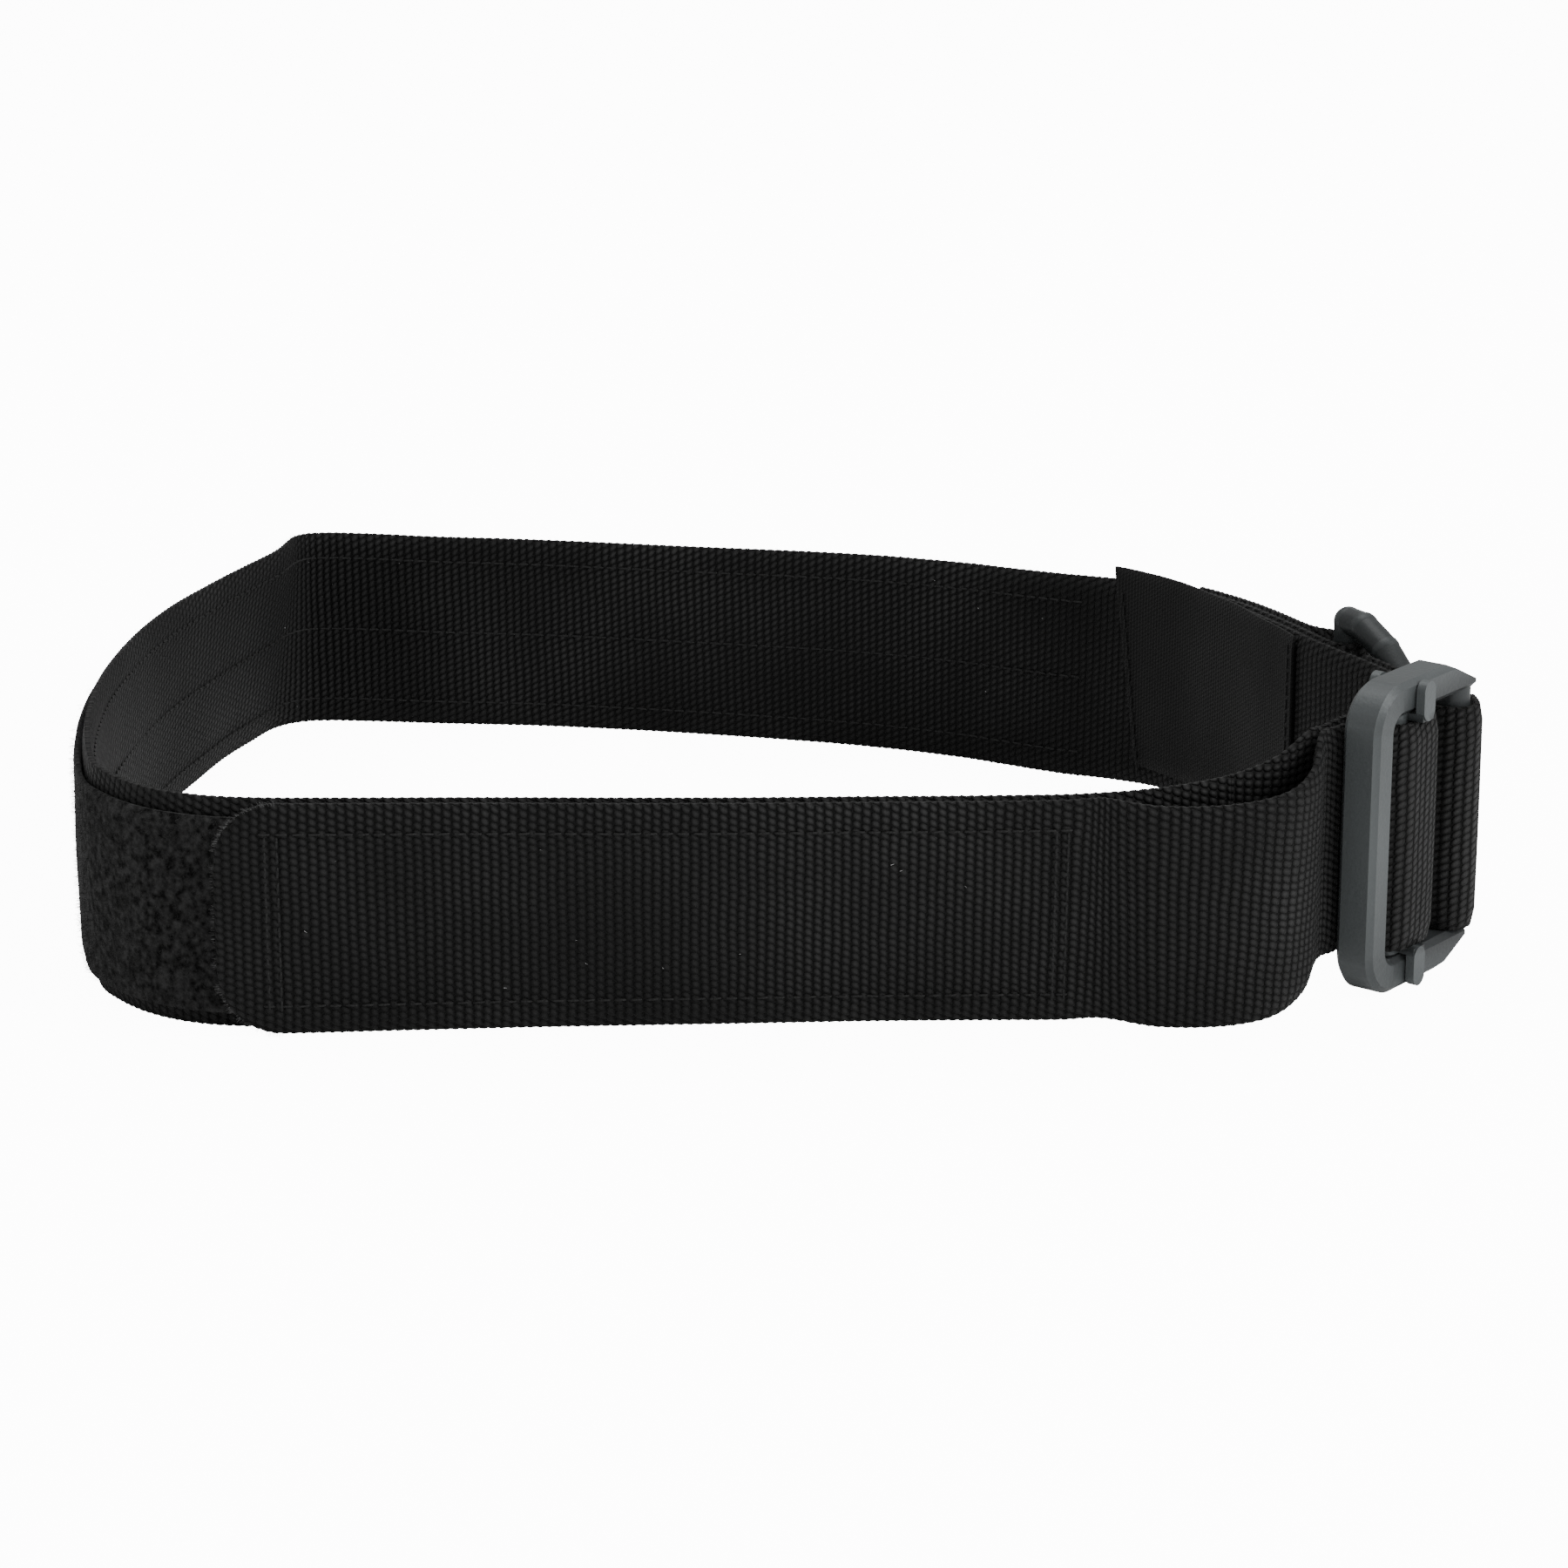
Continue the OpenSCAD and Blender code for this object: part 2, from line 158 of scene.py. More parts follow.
def flipped(s):
    return np.array([s[0], s[1], -s[2], -s[3], s[4], -s[5]])


def spots(route, start, end, out, count=None):
    n = count or max(4, int(abs(end - start) * 10))
    offset = out if callable(out) else (lambda t: out)
    return [spot(route, t, offset(t)) for t in np.linspace(start, end, n + 1)]


def half_turn(centre, r, start, z):
    """Clockwise round a plan centre, the outward side towards the centre's far side."""
    out = []
    for a in np.linspace(start, start - math.pi, 19):
        c, s = math.cos(a), math.sin(a)
        out.append(np.array([centre[0] + r * c, centre[1] + r * s, -c, -s, z, 0]))
    return out


def in_adapter(u, n, z=WRAP_Z):
    p = NEAR_BAR + u * MM * ALONG + n * MM * OUTSIDE
    return np.array([p.x, p.y, z, 0])


# ---- Ribbon meshes ----


def resample(path, step):
    """The path's spots at an even spacing, with each one's distance from the start."""
    path = np.array(path)
    gaps = np.hypot(*np.diff(path[:, :2], axis=0).T)
    keep = np.concatenate([[True], gaps > 1e-6])
    path = path[keep]
    run = np.concatenate([[0], np.cumsum(np.hypot(*np.diff(path[:, :2], axis=0).T))])
    n = max(3, int(run[-1] / step))
    wanted = np.linspace(0, run[-1], n + 1)
    even = np.stack([np.interp(wanted, run, path[:, k]) for k in range(path.shape[1])], axis=1)
    lengths = np.hypot(even[:, 2], even[:, 3])
    even[:, 2:4] /= lengths[:, None]
    return even, wanted


def ribbon(name, path, low, high, thick, step=0.6 * MM, across=14, wave=None, scallop=0.0, start_u=0.0,
           skew=0.0):
    """A closed woven band through the path, low to high above its lower edge.

    low and high are heights or functions of the distance along; wave(u, v) moves the band outwards;
    scallop bulges its two edges at each rib; skew pulls the lower end corner back. UVs are metres
    along and across.
    """
    even, run = resample(path, step)
    n = len(even)
    fractions = np.linspace(0, 1, across + 1)
    low_at = np.array([low(u) if callable(low) else low for u in run])
    high_at = np.array([high(u) if callable(high) else high for u in run])
    rows = []
    uvs = []
    ring = [(f, 1) for f in fractions] + [(f, -1) for f in fractions[::-1]]
    for f, side in ring:
        back = skew * (1 - f) * np.clip((run - run[-1]) / (30 * MM) + 1, 0, 1)
        spot_at = np.stack([np.interp(run - back, run, even[:, k]) for k in range(6)], axis=1)
        edge = min(f, 1 - f) * (high_at - low_at)
        round_off = np.clip(edge / (0.6 * thick), 0, 1)
        half = thick / 2 * (0.45 + 0.55 * np.sqrt(1 - (1 - round_off) ** 2))
        bulge = scallop * (0.5 + 0.5 * np.cos(2 * math.pi * run / RIB)) * (1 if f in (0.0, 1.0) else 0)
        height = low_at + f * (high_at - low_at) + np.where(f > 0.5, bulge, -bulge)
        out = side * half + spot_at[:, 5] * height / WEB_W
        if wave:
            out = out + np.array([wave(u, v) for u, v in zip(run, height)])
        x = spot_at[:, 0] + out * spot_at[:, 2]
        y = spot_at[:, 1] + out * spot_at[:, 3]
        rows.append(np.stack([x, y, spot_at[:, 4] + height], axis=1))
        uvs.append(np.stack([run + start_u - back, height], axis=1))
    rows = np.array(rows)
    uvs = np.array(uvs)
    k = len(ring)
    index = np.arange(k * n).reshape(k, n)
    faces = []
    for j in range(k):
        a, b = index[j], index[(j + 1) % k]
        faces.append(np.stack([a[:-1], b[:-1], b[1:], a[1:]], axis=1))
    faces = np.concatenate(faces).tolist()
    for column in (0, n - 1):
        for f in range(across):
            corners = (f, f + 1, k - 2 - f, k - 1 - f)
            quad = [index[corner][column] for corner in corners]
            faces.append(quad if column else quad[::-1])
    mesh = bpy.data.meshes.new(name)
    mesh.from_pydata(rows.reshape(-1, 3).tolist(), [], faces)
    flat = uvs.reshape(-1, 2)
    layer = mesh.uv_layers.new(name="UVMap")
    loops = np.empty(len(mesh.loops), dtype=np.int32)
    mesh.loops.foreach_get("vertex_index", loops)
    layer.data.foreach_set("uv", flat[loops].astype(np.float32).ravel())
    mesh.polygons.foreach_set("use_smooth", [True] * len(mesh.polygons))
    obj = bpy.data.objects.new(name, mesh)
    bpy.context.collection.objects.link(obj)
    bm = bmesh.new()
    bm.from_mesh(mesh)
    bmesh.ops.recalc_face_normals(bm, faces=bm.faces)
    bm.to_mesh(mesh)
    bm.free()
    return obj


# ---- Materials ----


class Nodes:
    """A short hand for building a material's node tree."""

    def __init__(self, name):
        self.material = bpy.data.materials.new(name)
        self.material.use_nodes = True
        self.tree = self.material.node_tree
        self.shader = self.tree.nodes["Principled BSDF"]
        self.out = self.tree.nodes["Material Output"]

    def node(self, kind, **values):
        made = self.tree.nodes.new(kind)
        for key, value in values.items():
            setattr(made, key, value)
        return made

    def link(self, source, target):
        self.tree.links.new(source, target)

    def math(self, operation, a, b=None, clamp=False):
        made = self.node("ShaderNodeMath", operation=operation, use_clamp=clamp)
        for socket, value in zip(made.inputs, (a, b)):
            if value is None:
                continue
            if isinstance(value, (int, float)):
                socket.default_value = value
            else:
                self.link(value, socket)
        return made.outputs[0]

    def uv(self):
        split = self.node("ShaderNodeSeparateXYZ")
        self.link(self.node("ShaderNodeUVMap", uv_map="UVMap").outputs["UV"], split.inputs[0])
        return split.outputs[0], split.outputs[1]

    def noise(self, scale, detail=3.0, coordinates="Object", stretch=None):
        made = self.node("ShaderNodeTexNoise")
        made.inputs["Scale"].default_value = scale
        made.inputs["Detail"].default_value = detail
        source = self.node("ShaderNodeTexCoord").outputs[coordinates]
        if stretch:
            mapping = self.node("ShaderNodeMapping")
            mapping.inputs["Scale"].default_value = stretch
            self.link(source, mapping.inputs["Vector"])
            source = mapping.outputs["Vector"]
        self.link(source, made.inputs["Vector"])
        return made.outputs["Fac"]

    def ramp(self, fac, stops):
        made = self.node("ShaderNodeValToRGB")
        elements = made.color_ramp.elements
        while len(elements) < len(stops):
            elements.new(0.5)
        for element, (position, colour) in zip(elements, stops):
            element.position = position
            element.color = (*colour, 1)
        self.link(fac, made.inputs["Fac"])
        return made.outputs["Color"]

    def bump(self, height, distance, strength=1.0):
        made = self.node("ShaderNodeBump")
        made.inputs["Strength"].default_value = strength
        made.inputs["Distance"].default_value = distance
        self.link(height, made.inputs["Height"])
        self.link(made.outputs["Normal"], self.shader.inputs["Normal"])

    def set(self, **values):
        names = {
            "rough": "Roughness",
            "metal": "Metallic",
            "sheen": "Sheen Weight",
            "spec": "Specular IOR Level",
        }
        for key, value in values.items():
            self.shader.inputs[names[key]].default_value = value


def woven(name, pitch_u, pitch_v, slant, dark, light, depth=0.0006, sheen=0.03):
    """Beaded webbing: upright ribs of twisted beads, each rib half a bead off its neighbours."""
    m = Nodes(name)
    u, v = m.uv()
    wobble = m.math("MULTIPLY", m.math("SUBTRACT", m.noise(140, 2), 0.5), 0.35)
    ribs = m.math("ADD", m.math("DIVIDE", u, pitch_u), wobble)
    column = m.math("FLOOR", ribs)
    fu = m.math("SUBTRACT", m.math("FRACT", ribs), 0.5)
    half = m.math("MULTIPLY", m.math("FLOORED_MODULO", column, 2.0), 0.5)
    lean = m.math("MULTIPLY", fu, slant)
    beads = m.math("ADD", m.math("ADD", m.math("DIVIDE", v, pitch_v), half), m.math("ADD", lean, wobble))
    fv = m.math("SUBTRACT", m.math("FRACT", beads), 0.5)
    across = m.math("MULTIPLY", m.math("POWER", m.math("ABSOLUTE", fu), 2.0), 3.6)
    upright = m.math("MULTIPLY", m.math("POWER", m.math("ABSOLUTE", fv), 2.0), 3.2)
    dome = m.math("SUBTRACT", 1.0, m.math("ADD", across, upright), clamp=True)
    fibres = m.noise(2600, 2, stretch=(1, 1, 0.35))
    height = m.math("ADD", m.math("POWER", dome, 0.6), m.math("MULTIPLY", fibres, 0.22))
    worn = m.math("MULTIPLY", m.math("POWER", m.noise(22, 3), 2.0), 2.2)
    # Painted shade: the colour follows the bead domes and falls to near black in the valleys between
    # beads, while a random wear noise lightens the bead tops.
    bead_shade_tone = m.math("MULTIPLY", m.math("POWER", dome, 1.5), m.math("ADD", worn, 0.15))
    m.link(m.ramp(bead_shade_tone, [(0.0, dark), (1.0, light)]), m.shader.inputs["Base Color"])
    m.set(rough=0.6, sheen=sheen, spec=0.12)
    m.shader.inputs["Sheen Roughness"].default_value = 0.4
    m.bump(height, depth)
    return m.material


def grey(value, tint=(1, 1, 1)):
    return tuple(value * t for t in tint)


def pile_material():
    m = Nodes("pile")
    tufts = m.noise(700, 6)
    m.link(m.ramp(tufts, [(0.36, grey(0.002)), (0.66, grey(0.032))]), m.shader.inputs["Base Color"])
    m.set(rough=0.95, sheen=0.05, spec=0.05)
    m.bump(m.math("ADD", tufts, m.noise(240, 3)), 0.0006)
    return m.material


def hook_material():
    m = Nodes("hook")
    u, v = m.uv()
    along = m.math("SINE", m.math("MULTIPLY", u, 5200))
    up = m.math("SINE", m.math("MULTIPLY", v, 4800))
    waves = m.math("MULTIPLY", along, up)
    m.link(m.ramp(m.noise(700, 3), [(0.2, grey(0.01)), (0.9, grey(0.03))]), m.shader.inputs["Base Color"])
    m.set(rough=0.6, spec=0.4)
    m.bump(waves, 0.0005)
    return m.material


def metal_material():
    """Satin dark grey finish with soft handling marks, brighter along worn edges."""
    m = Nodes("metal")
    blotch = m.noise(55, 5)
    grain = m.noise(1400, 3)
    worn = m.node("ShaderNodeNewGeometry").outputs["Pointiness"]
    edge = m.ramp(worn, [(0.5, (0, 0, 0)), (0.58, (1, 1, 1))])
    base = m.ramp(m.math("ADD", m.math("MULTIPLY", blotch, 0.8), m.math("MULTIPLY", grain, 0.2)),
                  [(0.3, grey(0.022, (0.9, 1.0, 1.03))), (0.7, grey(0.042, (0.9, 1.0, 1.03)))])
    mix = m.node("ShaderNodeMix", data_type="RGBA")
    m.link(edge, mix.inputs["Factor"])
    m.link(base, mix.inputs["A"])
    mix.inputs["B"].default_value = (0.085, 0.094, 0.096, 1)
    m.link(mix.outputs["Result"], m.shader.inputs["Base Color"])
    m.set(metal=0.2, spec=0.35)
    m.link(m.math("ADD", 0.36, m.math("MULTIPLY", blotch, 0.16)), m.shader.inputs["Roughness"])
    m.bump(m.math("ADD", grain, m.math("MULTIPLY", m.noise(180, 4), 1.5)), 0.00006)
    return m.material


def thread_material():
    m = Nodes("thread")
    twist = m.noise(3000, 2)
    m.link(m.ramp(twist, [(0.2, grey(0.003)), (0.8, grey(0.026))]), m.shader.inputs["Base Color"])
    m.set(rough=0.6, sheen=0.03, spec=0.15)
    m.bump(twist, 0.0001)
    return m.material


def fray_material(name, low, high):
    m = Nodes(name)
    m.link(m.ramp(m.noise(800, 3), [(0.3, grey(low)), (0.7, grey(high))]), m.shader.inputs["Base Color"])
    m.set(rough=0.85, sheen=0.1, spec=0.08)
    return m.material


WEBBING = woven("webbing", RIB, BEAD, 0.5, grey(0.0006), grey(0.028))
LINER = woven("liner", 0.9 * MM, 0.9 * MM, 1.0, grey(0.004), grey(0.03), 0.00014, 0.03)
PILE = pile_material()
HOOK = hook_material()
METAL = metal_material()
THREAD = thread_material()
FRAY = fray_material("fray", 0.03, 0.13)
FUZZ = fray_material("fuzz", 0.006, 0.032)
LINT = fray_material("lint", 0.35, 0.6)


def finish_piece(obj, material):
    obj.data.materials.clear()
    obj.data.materials.append(material)
    return obj


# ---- Webbing ----


def loose(u, v):
    """A slow unevenness of the webbing's face."""
    return 0.18 * MM * math.sin(u * 95 + 2 * math.sin(u * 37)) * math.sin(v * 60 + 0.5)


WEB = {"low": 0.0, "high": WEB_W, "thick": WEB_T, "wave": loose, "scallop": 0.22 * MM}


def ply(name, path, slot="webbing", material=None, **changes):
    values = {**WEB, **changes}
    return finish_piece(ribbon(name, path, **values), material or WEBBING)


def return_out(t):
    f = (RETURN_AT[1] - t) / (RETURN_AT[1] - RETURN_AT[0])
    radius = SIDE_W / 2 + GAP + WEB_T / 2
    return PLY_OUT + (2 * radius - PLY_OUT) * f**5


def main_ply():
    radius = SIDE_W / 2 + GAP + WEB_T / 2
    back = [flipped(s) for s in spots(MAIN, RETURN_AT[1], RETURN_AT[0], return_out, 12)]
    turn = half_turn(FAR_BAR, radius, math.radians(8), FOLD_Z)
    path = back + turn + spots(MAIN, RETURN_AT[0], FRONT_AT, 0)
    obj = ply("webbing_main", path)
    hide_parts("strap_main")
    return obj, resample(path, MM)[1][-1]


def on_tail(t):
    s = spot(MAIN, t, TAIL_OUT)
    return np.array([s[0], s[1], s[4] + TAIL_LIFT, s[5]])


TAIL_ROUTE = (
    [on_tail(t) for t in np.arange(TAIL_TIP_AT, PEEL_AT, 0.5)] + [on_tail(PEEL_AT)]
    + in_metres(TAIL_END) + [in_adapter(-2, -5.75), in_adapter(0.5, -5.75)]
)
PEEL_POINT = len(np.arange(TAIL_TIP_AT, PEEL_AT, 0.5))
TIP_R = 12 * MM


def tip_cut(u):
    """How much the tail's round corners take off each edge at a distance from its tip."""
    return 0 if u >= TIP_R else TIP_R - math.sqrt(max(0, TIP_R**2 - (TIP_R - u) ** 2))


def tail_plies():
    """The hook-taped tail, and the stretch of it that stays by the adapter."""
    split = PEEL_POINT + 0.5
    path = spots(TAIL_ROUTE, 0, split, 0)
    flap = ply("webbing_tail", path, low=tip_cut, high=lambda u: WEB_W - tip_cut(u))
    length = resample(path, MM)[1][-1]
    root = ply("webbing_root", spots(TAIL_ROUTE, split, len(TAIL_ROUTE) - 1, 0), start_u=length,
               wave=lambda u, v: loose(u + length, v))
    return flap, root


def adapter_plies(length):
    """The webbing from the front to the adapter, going on from the main ply, and round the slide bar."""
    route = MAIN[FRONT_AT - 1:] + [in_adapter(-3, -8.2), in_adapter(1, -8.3), in_adapter(4, -8.3)]
    wrap = [in_adapter(u, n) for u, n in WRAP]
    turn = spots(wrap, 0, len(wrap) - 1, 0)
    joined = ply("webbing_pass", spots(route, 1, len(route) - 1, 0), start_u=length,
                 wave=lambda u, v: loose(u + length, v))
    turned = ply("webbing_wrap", turn, scallop=0.2 * MM)
    return joined, turned


main_web, main_length = main_ply()
tail_web, root_web = tail_plies()
pass_web, wrap_web = adapter_plies(main_length)


def keeper():
    span = KEEPER_END_AT - RING_AT
    radius = 2.9 * MM + 0.4 * MM + WEB_T / 2

    def out(t):
        f = max(0, 3 * (KEEPER_END_AT - t) / span - 2)
        return 2 * PLY_OUT + (2 * radius - PLY_OUT) * f * f * (3 - 2 * f)

    bar = spot(MAIN, RING_AT, PLY_OUT + radius)
    angle = math.atan2(bar[3], bar[2])
    outer = [flipped(s) for s in spots(MAIN, KEEPER_END_AT, RING_AT, out, 20)]
    turn = half_turn(bar, radius, angle, bar[4])
    obj = ply("ring_keeper_web", outer + turn + spots(MAIN, RING_AT, KEEPER_END_AT, PLY_OUT, 20))
    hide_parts("ring_keeper")
    return obj


keeper_web = keeper()

# ---- Tapes and liner ----

TAPE_Z = (WEB_W - TAPE_W) / 2


def pucker(u, v):
    """The pile tape stands off the webbing here and there between its stitches."""
    rise = max(0, math.sin(u * 420 + 3 * math.sin(u * 60)))
    return 0.25 * MM * rise * math.exp(-((v - WEB_W / 2) / (9 * MM)) ** 2)


def tapes():
    pile = ribbon("pile_web", spots(MAIN, *PILE_AT, PILE_OUT), TAPE_Z, TAPE_Z + TAPE_W, PILE_T,
                  step=1.0 * MM, across=16, wave=pucker)
    finish_piece(pile, PILE)
    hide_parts("pile_tape")
    hook = ribbon("hook_web", spots(MAIN, 31, 39.1, HOOK_OUT), TAPE_Z + TAIL_LIFT,
                  TAPE_Z + TAPE_W + TAIL_LIFT, HOOK_T, step=1.2 * MM, across=10)
    finish_piece(hook, HOOK)
    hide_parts("hook_tape")
    return pile, hook


LINER_SKEW = 7 * MM


def liner():
    path = spots(MAIN, *LINER_AT, LINER_OUT)
    rise = 3.5 * MM
    length = sum(np.hypot(*np.diff(np.array(path)[:, :2], axis=0).T))

    def lift(u):
        return rise * u / length

    obj = ribbon("liner_web", path, lambda u: 0.8 * MM + lift(u), lambda u: WEB_W - 0.2 * MM + lift(u),
                 LINER_T, across=16, wave=lambda u, v: 0.15 * MM * math.sin(u * 300), scallop=0.08 * MM,
                 skew=LINER_SKEW)
    finish_piece(obj, LINER)
    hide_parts("liner_panel")
    return obj


pile_web, hook_web = tapes()
liner_web = liner()

# ---- Bodies ----

for piece in (main_web, keeper_web, pile_web, liner_web):
    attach(piece, "belt")
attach(wrap_web, "slider")
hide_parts("strap_tail")
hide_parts("strap_root")
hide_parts("strap_pass")
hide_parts("strap_wrap")


def with_tail(obj):
    """Bakes the piece's transform into its mesh."""
    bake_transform(obj)


def with_adapter(obj):
    """Bakes the piece's transform into its mesh."""
    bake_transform(obj)


with_tail(tail_web)
with_tail(hook_web)
with_adapter(root_web)
with_adapter(pass_web)

# ---- Stitches ----


STITCH_PITCH = 2.9 * MM


def on_face(s, out, height):
    """A point on a band's face, and the face's outward normal, from a spot of its route."""
    side = out + s[5] * height / WEB_W
    return Vector((s[0] + side * s[2], s[1] + side * s[3], s[4] + height)), Vector((s[2], s[3], 0))


def lengthwise(t0, t1, out, height):
    """Places for a row of stitches along the main route."""
    even = resample(spots(MAIN, t0, t1, 0.0), STITCH_PITCH)[0]
    places = []
    for s in even:
        p, n = on_face(s, out, height)
        places.append((p, Vector((-s[3], s[2], 0)), n))
    return places


def upright(t, out, low, high, slant=0.0):
    """Places for a row of stitches across the main route; slant moves its lower end back."""
    places = []
    for height in np.arange(low, high, STITCH_PITCH):
        p, n = on_face(spot(MAIN, t - slant * (1 - height / WEB_W), 0), out, height)
        places.append((p, Vector((0, 0, 1)), n))
    return places


def stitches(name, places):
    """Short rounded threads, each dipping into the cloth at both ends."""
    length = 2.2 * MM
    thick = 0.24 * MM
    rng = random.Random(name)
    points = []
    faces = []
    sides = 6
    profile = [
        (-0.5, -0.45, 0.55), (-0.36, 0.1, 0.95), (0, 0.3, 1.0), (0.36, 0.1, 0.95), (0.5, -0.45, 0.55),
    ]
    for p, along, normal in places:
        along = along.normalized()
        side = along.cross(normal).normalized()
        along = (along + side * rng.uniform(-0.07, 0.07)).normalized()
        base = len(points)
        for place, rise, fat in profile:
            centre = p + along * place * length + normal * rise * thick
            for k in range(sides):
                a = 2 * math.pi * k / sides
                points.append(centre + (side * math.cos(a) + normal * math.sin(a)) * thick * fat)
        for r in range(len(profile) - 1):
            for k in range(sides):
                a = base + r * sides + k
                b = base + r * sides + (k + 1) % sides
                faces.append((a, b, b + sides, a + sides))
        faces.append(tuple(base + k for k in range(sides))[::-1])
        end = base + (len(profile) - 1) * sides
        faces.append(tuple(end + k for k in range(sides)))
    mesh = bpy.data.meshes.new(name)
    mesh.from_pydata(points, [], faces)
    mesh.polygons.foreach_set("use_smooth", [True] * len(mesh.polygons))
    obj = bpy.data.objects.new(name, mesh)
    bpy.context.collection.objects.link(obj)
    return finish_piece(obj, THREAD)


INNER = -(WEB_T / 2 + 0.1 * MM)
OUTER = WEB_T / 2 + 0.1 * MM
LOW_ROW = TAPE_Z + 2.3 * MM
HIGH_ROW = WEB_W - TAPE_Z - 2.3 * MM

pile_rows = stitches("pile_stitch_row", [
    place for height in (LOW_ROW, WEB_W / 2, HIGH_ROW)
    for place in lengthwise(PILE_AT[0] + 0.1, PILE_AT[1] - 0.1, INNER, height)
])
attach(pile_rows, "belt")
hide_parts("pile_stitching")

tail_face = TAIL_OUT + OUTER
side_rows = stitches("tail_stitch_sides", [
    place for height in (LOW_ROW, HIGH_ROW)
    for place in lengthwise(31.2, 38.95, tail_face, height + TAIL_LIFT)
])
tip_rows = stitches("tail_stitch_tip", [
    place for t in (31.2, 31.36)
    for place in upright(t, tail_face, LOW_ROW + TAIL_LIFT, HIGH_ROW + TAIL_LIFT)
])
end_rows = stitches("tail_stitch_end", [
    place for t in (38.85, 38.97)
    for place in upright(t, tail_face, LOW_ROW + TAIL_LIFT, HIGH_ROW + TAIL_LIFT)
])
for rows, node in ((side_rows, "tail_side_stitching"), (tip_rows, "tail_tip_stitching"),
                   (end_rows, "tail_end_stitching")):
    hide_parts(node)
    with_tail(rows)

liner_face = LINER_OUT - LINER_T / 2 - 0.1 * MM
liner_rows = stitches("liner_stitch_rows", [
    place for t, slant in ((LINER_AT[0] + 0.12, 0.0), (LINER_AT[1] - 0.15, 0.45))
    for place in upright(t, liner_face, 3.5 * MM, WEB_W - 1.5 * MM, slant=slant)
])
fold_rows = stitches("fold_stitch_rows", [
    place for t in (1.7, 2.1) for place in upright(t, PLY_OUT + OUTER, 3 * MM, WEB_W - 3 * MM)
])
keeper_rows = stitches("keeper_stitch_rows", [
    place for t in (4.3, 5.1, 5.7) for place in upright(t, 2 * PLY_OUT + OUTER, 3 * MM, WEB_W - 3 * MM)
])
for rows, node in ((liner_rows, "liner_stitching"), (fold_rows, "fold_stitching"),
                   (keeper_rows, "keeper_stitching")):
    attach(rows, "belt")
    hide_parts(node)

# ---- Nap, loose fibres and lint ----


def fibres(name, roots, material, slot, width=0.05 * MM, length=(0.7 * MM, 1.5 * MM), curl=0.9):
    """Fine tapering strips from (point, direction) roots, each curling its own way."""
    rng = random.Random(name)
    points = []
    faces = []
    for p, direction in roots:
        d = direction.normalized()
        spin = Vector((rng.gauss(0, 1), rng.gauss(0, 1), rng.gauss(0, 1)))
        side = d.cross(spin).normalized() * width
        bend = spin.normalized() * curl
        long = rng.uniform(*length)
        base = len(points)
        centre = p - d * 0.1 * MM
        for k in range(4):
            half = side * (1 - 0.22 * k) * 0.5
            points += [centre - half, centre + half]
            centre = centre + (d + bend * (k / 3)).normalized() * long / 3
        faces += [(base + 2 * k, base + 2 * k + 1, base + 2 * k + 3, base + 2 * k + 2) for k in range(3)]
    mesh = bpy.data.meshes.new(name)
    mesh.from_pydata(points, [], faces)
    obj = bpy.data.objects.new(name, mesh)
    bpy.context.collection.objects.link(obj)
    return finish_piece(obj, material)


def nap_roots(count, t0, t1):
    rng = random.Random(5)
    roots = []
    for _ in range(count):
        s = spot(MAIN, rng.uniform(t0, t1), PILE_OUT)
        p, n = on_face(s, PILE_T / 2, rng.uniform(TAPE_Z, TAPE_Z + TAPE_W))
        roots.append((p, n + Vector((rng.gauss(0, 0.5), rng.gauss(0, 0.5), rng.gauss(0, 0.5)))))
    return roots


nap = fibres("pile_nap", nap_roots(5000, 27, 31.3) + nap_roots(6000, 7.7, 27), FUZZ, "tape", 0.09 * MM)
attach(nap, "belt")


def tip_roots(count):
    """Roots round the cut end of the tail, its two corners included."""
    rng = random.Random(8)
    near_tip = resample(spots(TAIL_ROUTE, 0, 4, 0), 0.2 * MM)[0]
    roots = []
    for _ in range(count):
        u = TIP_R * rng.random() ** 2.2
        top = rng.random() < 0.5
        height = WEB_W - tip_cut(u) if top else tip_cut(u)
        if u < 0.3 * MM:
            height = rng.uniform(TIP_R, WEB_W - TIP_R)
        s = near_tip[int(u / (0.2 * MM))]
        p, n = on_face(s, rng.uniform(-0.3, 1) * WEB_T / 2, height)
        back = Vector((s[3], -s[2], 0)) * (1 - u / TIP_R)
        up = Vector((0, 0, (1 if top else -1) * u / TIP_R))
        roots.append((p, back + up + n * rng.uniform(0, 0.6)))
    return roots


tip_fray = fibres("tail_tip_fray", tip_roots(420), FRAY, "webbing", 0.09 * MM, (0.4 * MM, 1.3 * MM), 1.4)
with_tail(tip_fray)


def edge_roots(route, t0, t1, out, low, high, count, seed):
    rng = random.Random(seed)
    roots = []
    for _ in range(count):
        s = spot(route, rng.uniform(t0, t1), out)
        top = rng.random() < 0.7
        p, n = on_face(s, rng.uniform(-1, 1) * WEB_T / 2, high if top else low)
        roots.append((p, Vector((rng.gauss(0, 0.6), rng.gauss(0, 0.6), 1 if top else -0.15))))
    return roots


FUZZ_SIZE = {"width": 0.05 * MM, "length": (0.4 * MM, 1.4 * MM), "curl": 1.5}

main_fuzz = fibres("webbing_fuzz", edge_roots(MAIN, 0.6, FRONT_AT, 0, 0.3 * MM, WEB_W, 1500, 3),
                   FUZZ, "webbing", **FUZZ_SIZE)
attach(main_fuzz, "belt")
tail_fuzz = fibres("tail_fuzz", edge_roots(TAIL_ROUTE, 3, PEEL_POINT, 0, 0.3 * MM, WEB_W, 500, 4),
                   FUZZ, "webbing", **FUZZ_SIZE)
with_tail(tail_fuzz)


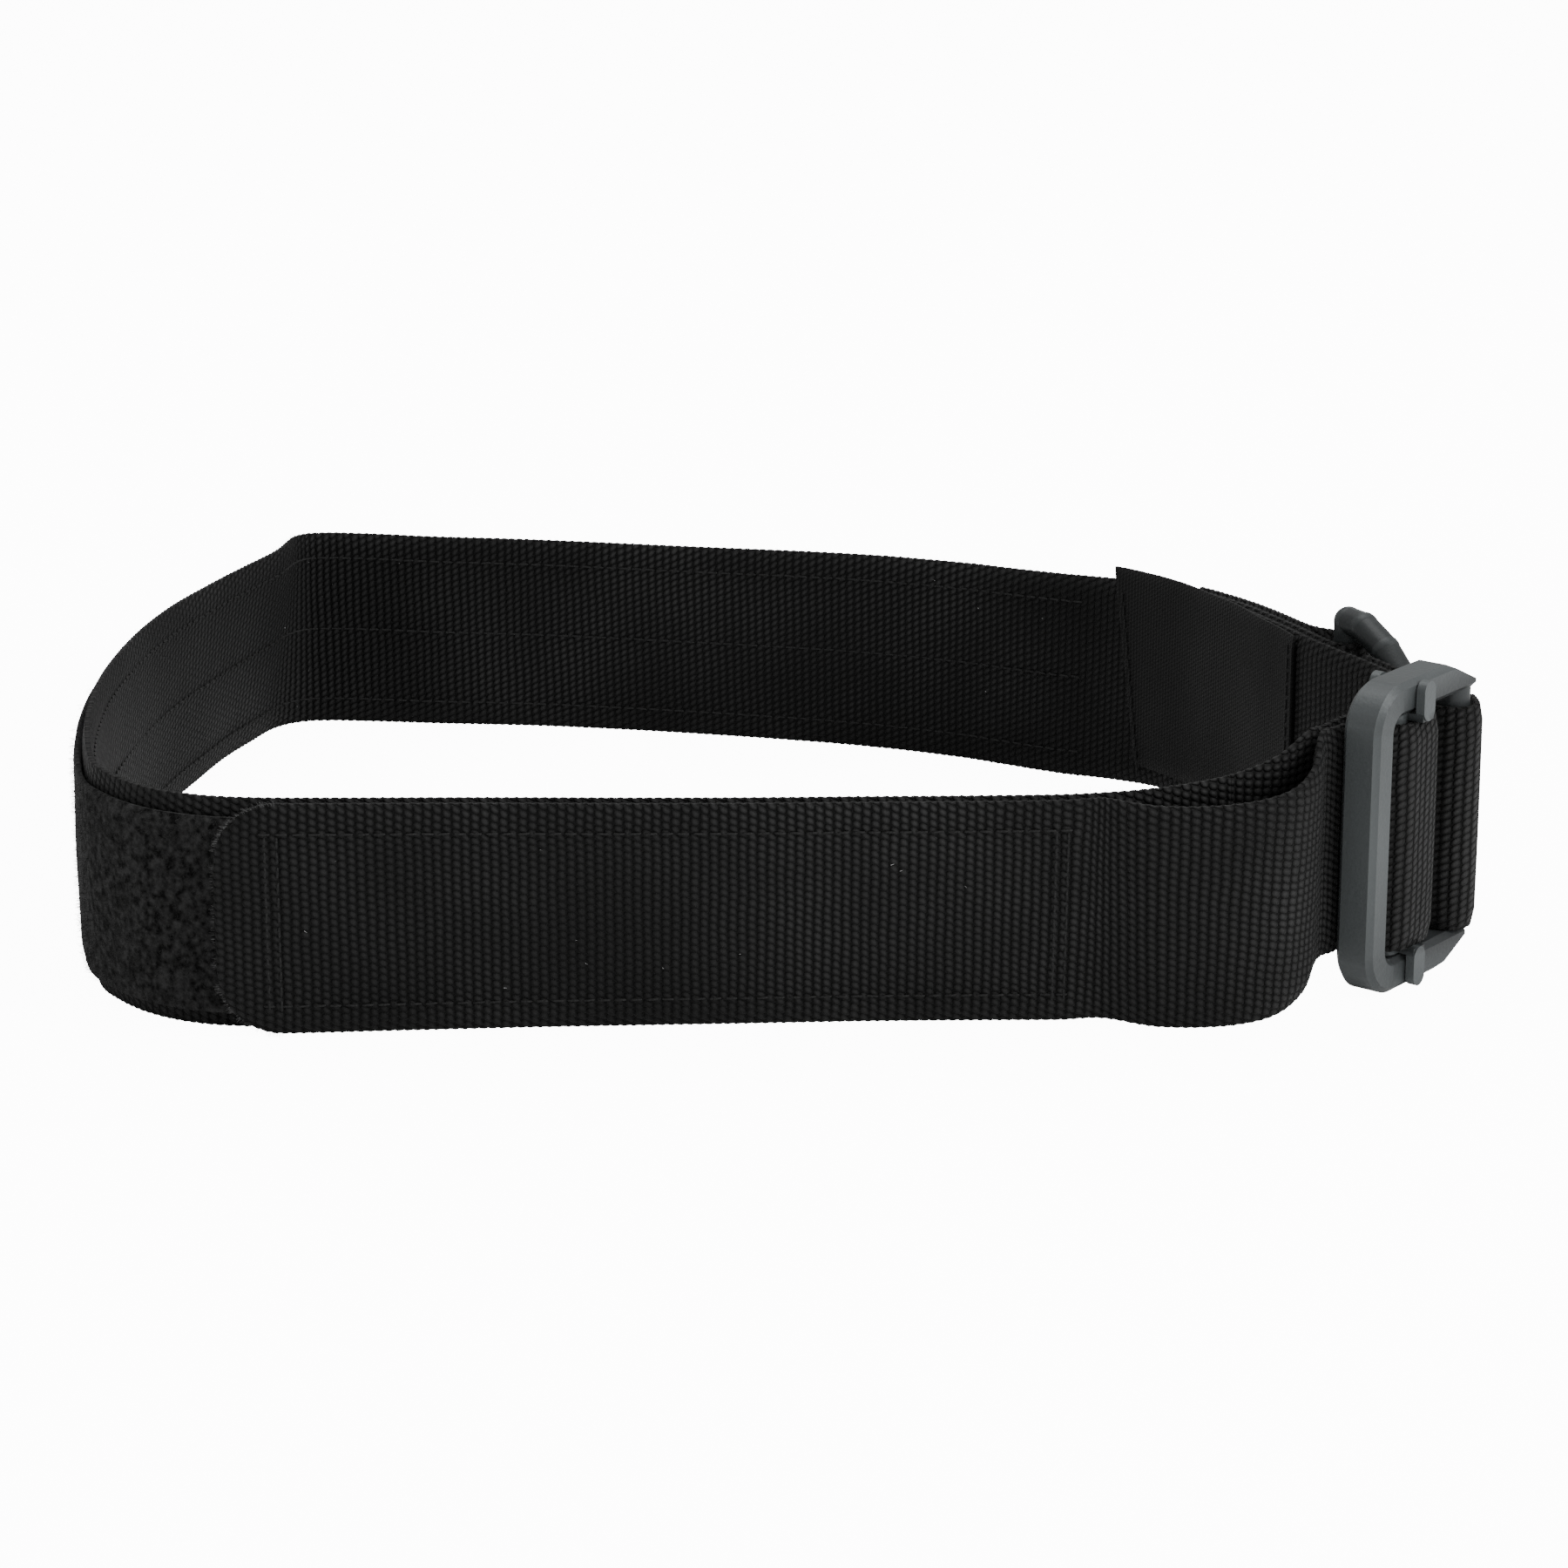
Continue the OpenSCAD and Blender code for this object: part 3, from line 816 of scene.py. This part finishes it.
def lint_roots(count, out, t0, t1, seed):
    rng = random.Random(seed)
    roots = []
    for _ in range(count):
        s = spot(MAIN, rng.uniform(t0, t1), 0)
        p, n = on_face(s, out, rng.uniform(4 * MM, WEB_W - 4 * MM))
        roots.append((p, Vector((-s[3], s[2], rng.uniform(-1, 1))) + n * 0.5))
    return roots


lint_inside = fibres("lint_inside", lint_roots(16, INNER, 8, 20, 1), LINT, "thread",
                     0.12 * MM, (0.3 * MM, 0.9 * MM))
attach(lint_inside, "belt")
lint_tail = fibres("lint_tail", lint_roots(14, tail_face, 31.5, 38, 2), LINT, "thread",
                   0.12 * MM, (0.3 * MM, 0.8 * MM))
with_tail(lint_tail)

# ---- CAD nodes that stay ----

for name in ("adapter_frame", "slide_bar", "v_ring"):
    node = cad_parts[name]
    node.data.materials.clear()
    node.data.materials.append(METAL)
    bevel = node.modifiers.new("edges", "BEVEL")
    bevel.width = 0.0007
    bevel.segments = 3
    bevel.limit_method = "ANGLE"
    bevel.angle_limit = math.radians(25)
    bevel.harden_normals = False

# ---- Stage ----


def stage():
    floor = bpy.data.objects.new("floor", bpy.data.meshes.new("floor"))
    bm = bmesh.new()
    bmesh.ops.create_grid(bm, x_segments=1, y_segments=1, size=6)
    bm.to_mesh(floor.data)
    bm.free()
    bpy.context.collection.objects.link(floor)
    floor.location.z = -0.0002
    m = Nodes("floor")
    m.shader.inputs["Base Color"].default_value = (0.93, 0.93, 0.93, 1)
    m.set(rough=0.8, spec=0.1)
    m.shader.inputs["Emission Color"].default_value = (1, 1, 1, 1)
    seen = m.node("ShaderNodeLightPath").outputs["Is Camera Ray"]
    m.link(m.math("MULTIPLY", seen, 12.0), m.shader.inputs["Emission Strength"])
    floor.data.materials.append(m.material)


def light(name, place, target, size, power):
    data = bpy.data.lights.new(name, "AREA")
    data.size = size
    data.energy = power
    obj = bpy.data.objects.new(name, data)
    bpy.context.collection.objects.link(obj)
    obj.location = place
    obj.rotation_euler = (Vector(target) - Vector(place)).to_track_quat("-Z", "Y").to_euler()


stage()
light("key", (1.3, -0.6, 0.9), (0.05, 0, 0.02), 0.8, 20)
light("top", (-0.1, 0.3, 1.5), (0, 0, 0.02), 1.2, 12)
light("fill", (-0.2, -1.4, 0.5), (0, -0.1, 0.02), 0.8, 3)
world = bpy.data.worlds.new("world")
world.use_nodes = True
world.node_tree.nodes["Background"].inputs["Color"].default_value = (1, 1, 1, 1)
world.node_tree.nodes["Background"].inputs["Strength"].default_value = 0.5
bpy.context.scene.world = world

camera = bpy.data.objects.new("camera", bpy.data.cameras.new("camera"))
camera.data.lens = 108
camera.data.sensor_width = 36
camera.data.clip_start = 0.05
camera.data.clip_end = 20
camera.location = (0.003, -0.9267, 0.300)
camera.rotation_euler = (math.radians(73), 0, 0)
bpy.context.collection.objects.link(camera)
bpy.context.scene.camera = camera
